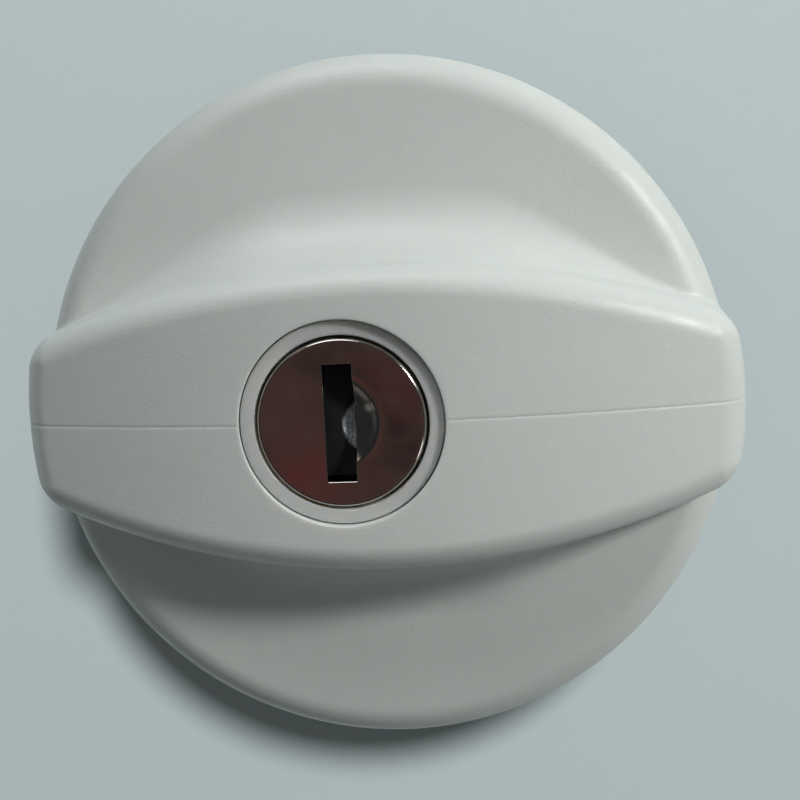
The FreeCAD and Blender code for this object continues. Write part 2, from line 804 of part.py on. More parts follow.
def bolt(name, side):
    """A flat bolt with a chamfered nose, that slides out through the neck's wall."""
    half = "bolt_width / 2"
    ends = {"back": ("bolt_inner", "bolt_outer"), "front": ("-bolt_outer", "-bolt_inner")}[side]
    bar = box(
        name + "_bar",
        ("lock_x - " + half, ends[0], "bolt_foot"),
        ("lock_x + " + half, ends[1], "bolt_top"),
    )
    nose = val("bolt_outer") * (1 if side == "back" else -1)
    doc.recompute()
    picked = [
        i for i, e in enumerate(bar.Shape.Edges, 1)
        if all(abs(p.y - nose) < 1e-4 for p in edge_points(e))
    ]
    tapered = doc.addObject("Part::Chamfer", name + "_chamfered")
    tapered.Base = bar
    tapered.Edges = [(i, val("bolt_chamfer"), val("bolt_chamfer")) for i in picked]
    spot = "pin_start" if side == "back" else "-pin_start"
    hole = cylinder(name + "_hole", "pin_radius", "bolt_top + 1", ("lock_x", spot, "0"))
    return node(name, cut(name, tapered, hole))


def bolt_pin(name, side):
    spot = "pin_start" if side == "back" else "-pin_start"
    height = "plug_foot - bolt_foot - 2 * pin_inset"
    return node(name, cylinder(name, "pin_radius", height, ("lock_x", spot, "bolt_foot + pin_inset")))


def stop_place(angle):
    return (
        "lock_x + stop_circle * cos(%s deg)" % angle,
        "stop_circle * sin(%s deg)" % angle,
        "plate_foot",
    )


def bolt_plate():
    """Holds both bolts down, and carries the two stops that end the plug's quarter turn."""
    disc = cylinder("plate_disc", "plate_radius", "plate_top - plate_foot", ("0", "0", "plate_foot"))
    beside = math.asin(val("(stop_radius + screw_play) / stop_circle"))
    clear = val("cam_tab_half_angle") + math.degrees(beside)
    height = "plug_foot - stop_gap - plate_foot"
    posts = [
        cylinder("stop_post_%d" % k, "stop_radius", height, stop_place(round(angle, 3)))
        for k, angle in enumerate((clear, -90 - clear))
    ]
    below, above, through = "plate_foot - 1", "plate_top + 1", "plate_top - plate_foot + 2"
    hollows = [cylinder("plate_centre", "plate_hole", through, ("lock_x", "0", below))]
    for tag, sign in (("back", ""), ("front", "-")):
        near = "%s(pin_start - plate_slot_half)" % sign
        far = "%s(pin_start + bolt_travel + plate_slot_half)" % sign
        low, high = (near, far) if tag == "back" else (far, near)
        hollows.append(box(
            "plate_slot_" + tag,
            ("lock_x - plate_slot_half", low, below),
            ("lock_x + plate_slot_half", high, above),
        ))
    for tag in ("left", "right"):
        spot = ("post_" + tag, "0", below)
        hollows.append(cylinder("plate_hole_" + tag, "plate_screw_radius + screw_play", through, spot))
        hollows.append(cone(
            "plate_sink_" + tag, "plate_screw_radius + screw_play", "plate_screw_head + screw_play",
            "plate_screw_head - plate_screw_radius",
            ("post_" + tag, "0", "plate_top - plate_screw_head + plate_screw_radius"),
        ))
    return node("bolt_plate", cut("bolt_plate", fuse("plate_solid", disc, *posts), *hollows))


def flat_screw(name, radius, head, tip, seat, x, y, up):
    """A countersunk screw. Its head lies at seat; up is 1 where the shank points up, else -1."""
    sign = "+" if up > 0 else "-"
    cone_end = "%s %s (%s - %s)" % (seat, sign, head, radius)
    shank_low, shank_high = (cone_end, tip) if up > 0 else (tip, cone_end)
    shank = cylinder(name + "_shank", radius, "(%s) - (%s)" % (shank_high, shank_low), (x, y, shank_low))
    wide, slim = (head, radius) if up > 0 else (radius, head)
    low = seat if up > 0 else cone_end
    top = cone(name + "_head", wide, slim, "%s - %s" % (head, radius), (x, y, low))
    return fuse(name, shank, top)


def plate_screws():
    """Two countersunk screws, driven down into the neck's posts."""
    screws = []
    for tag in ("left", "right"):
        name = "plate_screw_" + tag
        raw = flat_screw(
            name + "_raw", "plate_screw_radius", "plate_screw_head", "plate_screw_tip",
            "plate_top", "post_" + tag, "0", -1,
        )
        recess = cross_recess(
            name, "post_" + tag, "0", "plate_top - small_cross_depth", "plate_top + 1", "small_cross_reach",
            "small_cross_arm",
        )
        screws.append(cut(name, raw, *recess))
    return node("plate_screws", group("plate_screws", screws))


# ---------------------------------------------------------------- neck, gasket and its screws
def bayonet_groove(tag, side):
    """A groove for one of the collar's pins: straight in from the end, then round to the side."""
    near, far = "neck_radius - groove_depth", "neck_radius + 1"
    ends = {"east": (near, far), "west": ("-(%s)" % far, "-(%s)" % near)}[tag]
    lane = box(
        "groove_lane_" + tag,
        (ends[0], "-groove_width / 2", "-1"),
        (ends[1], "groove_width / 2", "groove_foot + groove_width"),
    )
    turn = Rotation(Vector(0, 0, 1), side)
    wedge = cylinder("groove_wedge_" + tag, far, "groove_width", ("0", "0", "groove_foot"), turn)
    wedge.setExpression("Angle", bound("groove_turn"))
    core = cylinder("groove_core_" + tag, near, "groove_width + 2", ("0", "0", "groove_foot - 1"))
    return lane, cut("groove_bend_" + tag, wedge, core)


def neck():
    """A plain cup with a flange: it holds the bolts, and the collar's pins run in its grooves."""
    cup = turned("neck_turned", [
        ("0", "0"),
        ("neck_radius - neck_chamfer", "0"),
        ("neck_radius", "neck_chamfer"),
        ("neck_radius", "gasket_foot - seat_rise"),
        ("seat_radius", "gasket_foot"),
        ("seat_radius", "flange_foot"),
        ("flange_radius", "flange_foot"),
        ("flange_radius", "flange_top"),
        ("neck_bore", "flange_top"),
        ("neck_bore", "neck_floor"),
        ("0", "neck_floor"),
    ])
    ribs = []
    root = "neck_floor - overlap"
    half = "(bolt_width / 2 + bolt_play)"
    for tag, near, far in (("back", "bolt_inner", "rail_end"), ("front", "-rail_end", "-bolt_inner")):
        ribs.append(box(
            "rail_left_" + tag,
            ("lock_x - %s - rail_width" % half, near, root),
            ("lock_x - " + half, far, "plate_foot"),
        ))
        ribs.append(box(
            "rail_right_" + tag,
            ("lock_x + " + half, near, root),
            ("lock_x + %s + rail_width" % half, far, "plate_foot"),
        ))
        ribs.append(box("pad_" + tag, ("lock_x - " + half, near, root), ("lock_x + " + half, far, "pad_top")))
    hollows = [
        box(
            "bolt_window",
            ("lock_x - " + half, "-neck_radius - 1", "bolt_foot - bolt_play"),
            ("lock_x + " + half, "neck_radius + 1", "bolt_top + bolt_play"),
        ),
    ]
    for tag in ("left", "right"):
        rise = "plate_foot - neck_floor + overlap"
        ribs.append(cylinder("post_" + tag, "post_radius", rise, ("post_" + tag, "0", root)))
        spot = ("post_" + tag, "0", "plate_screw_tip")
        hollows.append(cylinder("post_hole_" + tag, "plate_screw_radius", "plate_foot", spot))
    for tag, side in (("east", 0), ("west", 180)):
        hollows.extend(bayonet_groove(tag, side))
    for k, angle in enumerate(NECK_SCREW_ANGLES):
        spot = around(angle, "neck_screw_circle", "flange_foot - 1")
        through = "flange_top - flange_foot + 2"
        hollows.append(cylinder("flange_hole_%d" % k, "neck_screw_radius + screw_play", through, spot))
        sink = around(angle, "neck_screw_circle", "flange_foot")
        hollows.append(cone(
            "flange_sink_%d" % k, "neck_screw_head + screw_play", "neck_screw_radius + screw_play",
            "neck_screw_head - neck_screw_radius", sink,
        ))
    return node("neck", cut("neck", fuse("neck_solid", cup, *ribs), *hollows))


def flange_gasket():
    ring = tube("flange_gasket", "seat_radius", "gasket_radius", "gasket_foot", "flange_foot")
    return node("flange_gasket", ring)


def neck_screws():
    """Four countersunk screws, driven up through the flange into the knob's posts."""
    screws = []
    for k, angle in enumerate(NECK_SCREW_ANGLES):
        x, y, seat = around(angle, "neck_screw_circle", "flange_foot")
        name = "neck_screw_%d" % k
        raw = flat_screw(
            name + "_raw", "neck_screw_radius", "neck_screw_head", "neck_screw_tip - overlap", seat, x, y, 1,
        )
        recess = cross_recess(
            name, x, y, "flange_foot - 1", "flange_foot + cross_depth", "cross_reach", "cross_arm",
        )
        screws.append(cut(name, raw, *recess))
    return node("neck_screws", group("neck_screws", screws))


# ---------------------------------------------------------------- build, check and write
def build():
    knob_shell()
    lock_sleeve()
    sleeve_clip()
    plug()
    plug_face_cap()
    plug_circlip()
    shutter()
    shutter_pin()
    shutter_spring()
    for k in range(WAFERS):
        wafer(k)
        wafer_spring(k)
    cam_disc()
    cam_screw()
    for side in ("back", "front"):
        bolt("bolt_" + side, side)
        bolt_pin("bolt_pin_" + side, side)
    bolt_plate()
    plate_screws()
    neck()
    flange_gasket()
    neck_screws()
    doc.recompute()


def check_and_write():
    for thing in doc.Objects:
        if "Invalid" in thing.State or "Error" in thing.State:
            raise RuntimeError("%s failed: %s" % (thing.Name, thing.State))
    for thing in nodes:
        shape = thing.Shape
        if shape.isNull() or not shape.isValid() or not shape.Solids:
            raise RuntimeError("%s has no valid solid" % thing.Label)
    for thing in nodes:
        thing.Shape.exportStep("parts/%s.step" % thing.Label)
        low, high = thing.Shape.BoundBox.ZMin, thing.Shape.BoundBox.ZMax
        print("%-18s solids %d  volume %9.2f  z %.2f to %.2f" % (
            thing.Label, len(thing.Shape.Solids), thing.Shape.Volume, low, high))


build()
check_and_write()
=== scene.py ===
import json
import math

import bpy
import numpy as np
from mathutils import Matrix, Vector


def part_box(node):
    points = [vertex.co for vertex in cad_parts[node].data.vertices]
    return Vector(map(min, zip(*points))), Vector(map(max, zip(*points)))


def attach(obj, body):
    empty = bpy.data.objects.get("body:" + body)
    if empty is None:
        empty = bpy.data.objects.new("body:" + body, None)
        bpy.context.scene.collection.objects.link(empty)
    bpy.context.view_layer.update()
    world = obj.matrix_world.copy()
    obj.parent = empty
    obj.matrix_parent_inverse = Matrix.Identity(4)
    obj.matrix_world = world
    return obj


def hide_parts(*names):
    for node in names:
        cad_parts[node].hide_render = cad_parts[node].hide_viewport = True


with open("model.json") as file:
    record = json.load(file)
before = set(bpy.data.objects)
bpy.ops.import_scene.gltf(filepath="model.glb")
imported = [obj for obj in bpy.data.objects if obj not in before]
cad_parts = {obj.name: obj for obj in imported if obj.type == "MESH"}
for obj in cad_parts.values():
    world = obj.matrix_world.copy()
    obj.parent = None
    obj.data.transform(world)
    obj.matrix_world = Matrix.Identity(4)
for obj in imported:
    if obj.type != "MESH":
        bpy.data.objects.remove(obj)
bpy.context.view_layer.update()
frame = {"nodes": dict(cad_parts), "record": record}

# The script works in metres. MM turns the millimetres that sizes are given in into metres.
MM = 0.001


# ---------------------------------------------------------------- what the frame says
def span(node, axis):
    """Lowest and highest place of a CAD node along one axis, in millimetres."""
    low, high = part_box(node)
    return low[axis] / MM, high[axis] / MM


KNOB_FOOT, CREST = span("knob_shell", 2)
BAR_END = span("knob_shell", 0)[1]
DISC = span("knob_shell", 1)[1]
FACE_LEFT, FACE_RIGHT = span("plug_face_cap", 0)
LOCK_X = (FACE_LEFT + FACE_RIGHT) / 2
FACE_RADIUS = (FACE_RIGHT - FACE_LEFT) / 2
FACE_FOOT, FACE_TOP = span("plug_face_cap", 2)
RING = span("lock_sleeve", 1)[1]
RING_TOP = span("lock_sleeve", 2)[1]
FLANGE_TOP = span("neck", 2)[1]

# ---------------------------------------------------------------- the knob's own sizes, in millimetres
# The disc, and the bar's flanks, back and edges. LEAST_ROUND is the smallest round inside the walls.
DISC_HEIGHT = 9.7
DISC_TOP = KNOB_FOOT + DISC_HEIGHT
RIM_ROUND = 2.8
HALF_WIDTH = 12.5
SIDE_RADIUS = 78.0
DRAFT = math.radians(3.0)
ARCH_RADIUS = 96.0
CORNER_ROUND = 1.7
EDGE_ROUND = 2.2
LEAST_ROUND = 0.4

# The hollow in the seam between bar and disc: widest near the middle, all but sharp at the bar's ends.
SEAM_ROUND = 6.0
SEAM_ROUND_END = 0.35
SEAM_FADE_FROM = 8.0
SEAM_FADE_TO = 26.5

# The bore for the lock's ring, its step, the boss round it and the screw posts.
WALL = 2.4
BORE_GAP = 0.1
BORE_ROUND = 0.11
BORE_STEP_DEPTH = 3.0
BORE_STEP_WIDTH = 0.55
BORE_STEP_Z = RING_TOP - BORE_STEP_DEPTH
BORE_STEP_RADIUS = RING - BORE_STEP_WIDTH
BOSS_FLOOR = 1.7
BOSS_WALL = 2.2
BOSS_FOOT = BORE_STEP_Z - BOSS_FLOOR
BOSS_RADIUS = RING + BOSS_WALL
POSTS = 4
POST_FIRST_DEG = 45
POST_CIRCLE = 23.4
POST_BORE = 1.5
POST_RADIUS = 3.2
POST_INTO_ROOF = 0.3

# The mould line: half its width, its depth, and how far below the disc's top and the crest it changes.
MOULD_HALF = 0.15
MOULD_DEPTH = 0.038
MOULD_STOP = 4
MOULD_TURN = 6

# ---------------------------------------------------------------- the stamped face's sizes, in millimetres
SHEET = 0.35
FACE_ROUND = 0.3

# The slot's sides and half its length, and the round on its edge with the share of it at the middle point.
SLOT_LEFT = LOCK_X - 1.35
SLOT_RIGHT = LOCK_X + 1.05
SLOT_HALF = 4.85
SLOT_ROUND = 0.07
SLOT_ROUND_SHARE = 0.3

# The dent: part of a ball whose outline is a circle round a point left of the lock's middle. Its lip is soft
# and fades out past the outline, and it starts a little inside the slot's right side.
DENT_X = -0.77
DENT_BALL = 6.0
DENT_OUTLINE = 3.81
DENT_BALL_SHARE = 0.95
DENT_PAST_SLOT = 0.2
DENT_FADE = 1.2
LIP_ROUND = 0.14

# The pale patch painted in the flap's dish behind the slot, part wear and part painted highlight: its middle,
# its radius and the width of its edge.
SHUTTER_DISH_X = LOCK_X + 2.1
SHUTTER_DISH_Y = -0.5
SHUTTER_DISH = 2.3
SHUTTER_DISH_EDGE = 0.25

# ---------------------------------------------------------------- how finely the meshes are drawn
# Rays leave the lock's axis at the height RAY_Z and are searched from RAY_START to RAY_FAR, in millimetres.
SMOOTH_ANGLE = 35.0
FACE_SMOOTH_ANGLE = 50.0
HALVINGS = 36
FOOT_ROUNDS = 12
FOOT_FIRST_GUESS = 28.0
RAY_Z = KNOB_FOOT + 1.0
RAY_START = 4.0
RAY_FAR = 45.0
SEARCH_OVER_CREST = 2
BLUR = 9
KNOB_COLUMNS = 640
CLOSE_COLUMNS_DEG = (0.08, 0.16, 0.24, 0.34)
BORE_CORNER_DEG = (0.0, 22.5, 45.0, 67.5)
OUTSIDE_ROWS = {"rays": 420, "rows": 150, "bend_weight": 1.6}
INSIDE_ROWS = {"rays": 260, "rows": 60, "bend_weight": 0.6}
TUBE_SIDES = 40
SLOT_SIDE_POINTS = 97
SLOT_END_POINTS = 41
FACE_ROWS = 90
FACE_RIM_ROWS = 9
FACE_UNDER_ROWS = 50
TINY = 1e-9


# ---------------------------------------------------------------- mesh helpers
def new_mesh(name, points, faces, smooth_angle=SMOOTH_ANGLE):
    """An object from points in millimetres, shaded smooth but for edges sharper than an angle."""
    mesh = bpy.data.meshes.new(name)
    mesh.from_pydata([tuple(p) for p in np.asarray(points, float) * MM], [], [tuple(f) for f in faces])
    mesh.update()
    mesh.polygons.foreach_set("use_smooth", [True] * len(mesh.polygons))
    mesh.set_sharp_from_angle(angle=math.radians(smooth_angle))
    thing = bpy.data.objects.new(name, mesh)
    bpy.context.scene.collection.objects.link(thing)
    return thing


def grid_faces(columns, rows):
    """Quads of a grid that closes round both ways."""
    faces = []
    for c in range(columns):
        d = (c + 1) % columns
        for r in range(rows):
            s = (r + 1) % rows
            faces.append((c * rows + r, d * rows + r, d * rows + s, c * rows + s))
    return faces


def halved(low, high, is_inside):
    """Closes in on the place between low and high where the test stops being true."""
    for _ in range(HALVINGS):
        middle = (low + high) / 2
        inside = is_inside(middle)
        low = np.where(inside, middle, low)
        high = np.where(inside, high, middle)
    return (low + high) / 2


# ---------------------------------------------------------------- knob: shape as a field
def rounded_corner(first, second, radius):
    """Where both are below zero, with the corner between them rounded."""
    a = first + radius
    b = second + radius
    outside = np.hypot(np.maximum(a, 0), np.maximum(b, 0))
    return np.minimum(np.maximum(a, b), 0) + outside - radius


def blended(first, second, radius):
    """Where either is below zero, with a hollow of that radius in the seam."""
    a = np.maximum(radius - first, 0)
    b = np.maximum(radius - second, 0)
    return np.maximum(radius, np.minimum(first, second)) - np.hypot(a, b)


def disc_field(x, y, z, inset):
    """The round disc with its rounded rim, shrunk all round by the inset."""
    rim = max(RIM_ROUND - inset, LEAST_ROUND)
    return rounded_corner(np.hypot(x, y) - DISC + inset, z - DISC_TOP + inset, rim)


def bar_field(x, y, z, inset):
    """The grip bar: two bowed flanks that lean in a little, an arched back and curved ends."""
    flank_radius = SIDE_RADIUS + (CREST - z) * math.tan(DRAFT)
    flank = (np.hypot(x, np.abs(y) + SIDE_RADIUS - HALF_WIDTH) - flank_radius) * math.cos(DRAFT)
    end = np.hypot(x, y) - BAR_END
    arch = np.hypot(x, z - CREST + ARCH_RADIUS) - ARCH_RADIUS
    plan = rounded_corner(flank + inset, end + inset, max(CORNER_ROUND - inset, LEAST_ROUND))
    return rounded_corner(plan, arch + inset, max(EDGE_ROUND - inset, LEAST_ROUND))


def seam_radius(x):
    """Radius of the hollow in the seam, easing from the middle's to the ends'."""
    fade = np.clip((SEAM_FADE_TO - np.abs(x)) / (SEAM_FADE_TO - SEAM_FADE_FROM), 0, 1)
    return SEAM_ROUND_END + (SEAM_ROUND - SEAM_ROUND_END) * fade * fade * (3 - 2 * fade)


def outer_field(x, y, z):
    """The knob's outside: disc and bar, grown together."""
    return blended(disc_field(x, y, z, 0), bar_field(x, y, z, 0), seam_radius(x))


def inner_field(x, y, z):
    """The hollow under the disc and the bar, less the boss that holds the lock."""
    bar = np.maximum(bar_field(x, y, z, WALL), np.hypot(x, y) - DISC + WALL)
    hollow = np.minimum(disc_field(x, y, z, WALL), bar)
    boss = np.maximum(np.hypot(x - LOCK_X, y) - BOSS_RADIUS, BOSS_FOOT - z)
    return np.maximum(hollow, -boss)


# ---------------------------------------------------------------- knob: mesh
def first_hit(field, turn, lift):
    """How far along each ray from the lock's axis the field changes sign."""
    def is_inside(far):
        reach = far * np.cos(lift)
        return field(LOCK_X + reach * np.cos(turn), reach * np.sin(turn), RAY_Z + far * np.sin(lift)) < 0

    return halved(np.full(turn.shape, RAY_START), np.full(turn.shape, RAY_FAR), is_inside)


def surface_height(turn, radius):
    """Height of the bar's back above a circle round the lock's axis."""
    x, y = LOCK_X + radius * np.cos(turn), radius * np.sin(turn)
    low = np.full(turn.shape, DISC_TOP)
    high = np.full(turn.shape, CREST + SEARCH_OVER_CREST)
    return halved(low, high, lambda z: outer_field(x, y, z) < 0)


def foot_lift(turn, field):
    """The lift at which each ray meets the field's edge at the knob's foot."""
    reach = np.full(turn.shape, FOOT_FIRST_GUESS)
    for _ in range(FOOT_ROUNDS):
        lift = np.arctan2(KNOB_FOOT - RAY_Z, reach)
        reach = first_hit(field, turn, lift) * np.cos(lift)
    return np.arctan2(KNOB_FOOT - RAY_Z, reach)


def spread(reach, height, count, bend_weight):
    """Points along each column's profile, closer together where it bends."""
    step = np.hypot(np.diff(reach, axis=1), np.diff(height, axis=1))
    heading = np.unwrap(np.arctan2(np.diff(height, axis=1), np.diff(reach, axis=1)), axis=1)
    bend = np.abs(np.diff(heading, axis=1, prepend=heading[:, :1]))
    weight = step + bend_weight * bend
    blur = np.ones(BLUR) / BLUR
    weight = np.apply_along_axis(
        lambda row: np.convolve(np.pad(row, BLUR // 2, "edge"), blur, "valid"), 1, weight)
    total = np.concatenate([np.zeros((len(reach), 1)), np.cumsum(weight, axis=1)], axis=1)
    reach_out = np.empty((len(reach), count))
    height_out = np.empty((len(reach), count))
    for row in range(len(reach)):
        wanted = np.linspace(0, total[row, -1], count)
        reach_out[row] = np.interp(wanted, total[row], reach[row])
        height_out[row] = np.interp(wanted, total[row], height[row])
    return reach_out, height_out


def profile(field, turn, lift_high, rays, rows, bend_weight):
    """Reach and height of the field's edge in each column, from a lift down to the knob's foot."""
    lift_low = foot_lift(turn, field)
    share = np.linspace(0, 1, rays)[None, :]
    lift = lift_high[:, None] + (lift_low[:, None] - lift_high[:, None]) * share
    angles = np.broadcast_to(turn[:, None], lift.shape)
    distance = first_hit(field, angles, lift)
    reach, height = spread(distance * np.cos(lift), RAY_Z + distance * np.sin(lift), rows, bend_weight)
    height[:, -1] = KNOB_FOOT
    return reach, height


def knob_columns():
    """Azimuths of the mesh's columns: even, with close ones each side of the mould line."""
    even = np.linspace(0, 2 * math.pi, KNOB_COLUMNS, endpoint=False)
    close = np.radians(np.array(CLOSE_COLUMNS_DEG))
    extra = np.concatenate([close, -close, math.pi + close, math.pi - close])
    return np.sort(np.mod(np.concatenate([even, extra]), 2 * math.pi))


def mould_line(x, y, z):
    """Sinks the hair line left by the mould's two halves, along the bar's back and down its ends."""
    across = np.clip(1 - np.abs(y) / MOULD_HALF, 0, 1)
    sink = MOULD_DEPTH * across * (np.abs(x - LOCK_X) > RING) * (z > DISC_TOP - MOULD_STOP)
    lean = np.clip((np.abs(x) - BAR_END + EDGE_ROUND) / EDGE_ROUND, 0, 1)
    side = np.where((z < CREST - MOULD_TURN) & (lean > 0), 1.0, lean * lean)
    return x - np.sign(x) * sink * side, y, z - sink * (1 - side)


def knob_points():
    """The knob's grid: down the outside, up the inside and back out along the bore's step."""
    turn = knob_columns()
    bore = RING + BORE_GAP
    start = surface_height(turn, bore + BORE_ROUND)
    corner = np.radians(np.array([BORE_CORNER_DEG]))
    edge_reach = np.repeat(bore + BORE_ROUND * (1 - np.cos(corner)), len(turn), axis=0)
    edge_height = start[:, None] - BORE_ROUND * (1 - np.sin(corner))
    outer_high = np.arctan2(start - RAY_Z, bore + BORE_ROUND)
    out_reach, out_height = profile(outer_field, turn, outer_high, **OUTSIDE_ROWS)
    inner_high = np.full(turn.shape, math.atan2(BOSS_FOOT - RAY_Z, BORE_STEP_RADIUS))
    in_reach, in_height = profile(inner_field, turn, inner_high, **INSIDE_ROWS)
    in_reach[:, 0] = BORE_STEP_RADIUS
    in_height[:, 0] = BOSS_FOOT
    wall = np.array([[BORE_STEP_RADIUS, BORE_STEP_Z], [bore, BORE_STEP_Z]])
    wall_reach = np.repeat(wall[None, :, 0], len(turn), axis=0)
    wall_height = np.repeat(wall[None, :, 1], len(turn), axis=0)
    reach = np.concatenate([edge_reach, out_reach, in_reach[:, ::-1], wall_reach], axis=1)
    height = np.concatenate([edge_height, out_height, in_height[:, ::-1], wall_height], axis=1)
    x = LOCK_X + reach * np.cos(turn)[:, None]
    y = reach * np.sin(turn)[:, None]
    outside = edge_reach.shape[1] + out_reach.shape[1]
    x[:, :outside], y[:, :outside], height[:, :outside] = mould_line(
        x[:, :outside], y[:, :outside], height[:, :outside])
    return np.stack([x, y, height], axis=2)


def tube_part(points, faces, centre, inner, outer, low, high):
    """Adds a closed tube that stands on its own to a list of points and faces."""
    ring = [(outer, low), (outer, high), (inner, high), (inner, low)]
    first = len(points)
    for k in range(TUBE_SIDES):
        angle = 2 * math.pi * k / TUBE_SIDES
        for radius, z in ring:
            points.append((centre[0] + radius * math.cos(angle), centre[1] + radius * math.sin(angle), z))
    for face in grid_faces(TUBE_SIDES, len(ring)):
        faces.append(tuple(first + i for i in face))


def make_knob():
    """The white knob with its boss and its screw posts, as one fine mesh."""
    grid = knob_points()
    columns, rows = grid.shape[:2]
    points = [tuple(p) for p in grid.reshape(-1, 3)]
    faces = grid_faces(columns, rows)
    for k in range(POSTS):
        angle = math.radians(POST_FIRST_DEG + 360 / POSTS * k)
        centre = (POST_CIRCLE * math.cos(angle), POST_CIRCLE * math.sin(angle))
        tube_part(points, faces, centre, POST_BORE, POST_RADIUS, FLANGE_TOP, DISC_TOP - WALL + POST_INTO_ROOF)
    return new_mesh("knob_shell_fine", points, faces)


# ---------------------------------------------------------------- stamped face of the lock
def dent_depth(x, y):
    """Depth of the ball-shaped dent that leads the key's tip into the slot, with a soft lip."""
    rise = math.sqrt(DENT_BALL**2 - DENT_OUTLINE**2)
    away = np.minimum(np.hypot(x - LOCK_X - DENT_X, y), DENT_BALL * DENT_BALL_SHARE)
    depth = np.sqrt(DENT_BALL**2 - away**2) - rise
    soft = (depth + np.sqrt(depth**2 + LIP_ROUND**2)) / 2
    fade = np.clip(DENT_OUTLINE + DENT_FADE - away, 0, 1)
    return np.where(x > SLOT_RIGHT - DENT_PAST_SLOT, soft * fade, 0.0)


def slot_loop(turn, grow):
    """Points of the slot's edge, seen from its middle at each azimuth, with the slot grown all round."""
    across = (SLOT_RIGHT - SLOT_LEFT) / 2 + grow
    along = SLOT_HALF + grow
    to_side = across / np.maximum(np.abs(np.cos(turn)), TINY)
    to_end = along / np.maximum(np.abs(np.sin(turn)), TINY)
    reach = np.minimum(to_side, to_end)
    return reach * np.cos(turn) + (SLOT_LEFT + SLOT_RIGHT) / 2, reach * np.sin(turn)


def face_columns():
    """Azimuths for the face's columns: even along the slot's edge, with its corners among them."""
    half_x, half_y = (SLOT_RIGHT - SLOT_LEFT) / 2, SLOT_HALF
    tall = np.arctan(np.linspace(-1, 1, SLOT_SIDE_POINTS)[:-1] * half_y / half_x)
    wide = np.arctan(np.linspace(-1, 1, SLOT_END_POINTS)[:-1] * half_x / half_y)
    return np.concatenate([tall, wide + math.pi / 2, tall + math.pi, wide + 1.5 * math.pi])


def make_face():
    """The chromed sheet: a flat cup with a rounded rim, a punched slot and the dent beside it."""
    turn = face_columns()
    foot = FACE_TOP - SHEET
    middle = SLOT_ROUND * SLOT_ROUND_SHARE
    rows = []
    for grow, drop in ((0.0, SHEET), (0.0, SLOT_ROUND), (middle, middle), (SLOT_ROUND, 0.0)):
        x, y = slot_loop(turn, grow)
        rows.append((x, y, FACE_TOP - drop - dent_depth(x, y)))
    inner_x, inner_y = slot_loop(turn, SLOT_ROUND)
    angle = np.arctan2(inner_y, inner_x - LOCK_X)

    def flat_row(radius, share, top):
        x = inner_x + (LOCK_X + radius * np.cos(angle) - inner_x) * share
        y = inner_y + (radius * np.sin(angle) - inner_y) * share
        return x, y, top - dent_depth(x, y)

    flat = FACE_RADIUS - FACE_ROUND
    rows += [flat_row(flat, share, FACE_TOP) for share in np.linspace(0, 1, FACE_ROWS)[1:]]
    ring = [(flat + FACE_ROUND * math.sin(a), FACE_TOP - FACE_ROUND * (1 - math.cos(a)))
            for a in np.linspace(0, math.pi / 2, FACE_RIM_ROWS)[1:]]
    ring += [(FACE_RADIUS, FACE_FOOT), (FACE_RADIUS - SHEET, FACE_FOOT), (FACE_RADIUS - SHEET, foot)]
    for radius, z in ring:
        rows.append((LOCK_X + radius * np.cos(angle), radius * np.sin(angle), np.full(len(turn), z)))
    rows += [flat_row(FACE_RADIUS - SHEET, share, foot) for share in np.linspace(1, 0, FACE_UNDER_ROWS)[1:-1]]
    grid = np.stack([np.stack(row, axis=1) for row in rows], axis=1)
    faces = grid_faces(len(turn), len(rows))
    return new_mesh("plug_face_fine", grid.reshape(-1, 3), faces, FACE_SMOOTH_ANGLE)


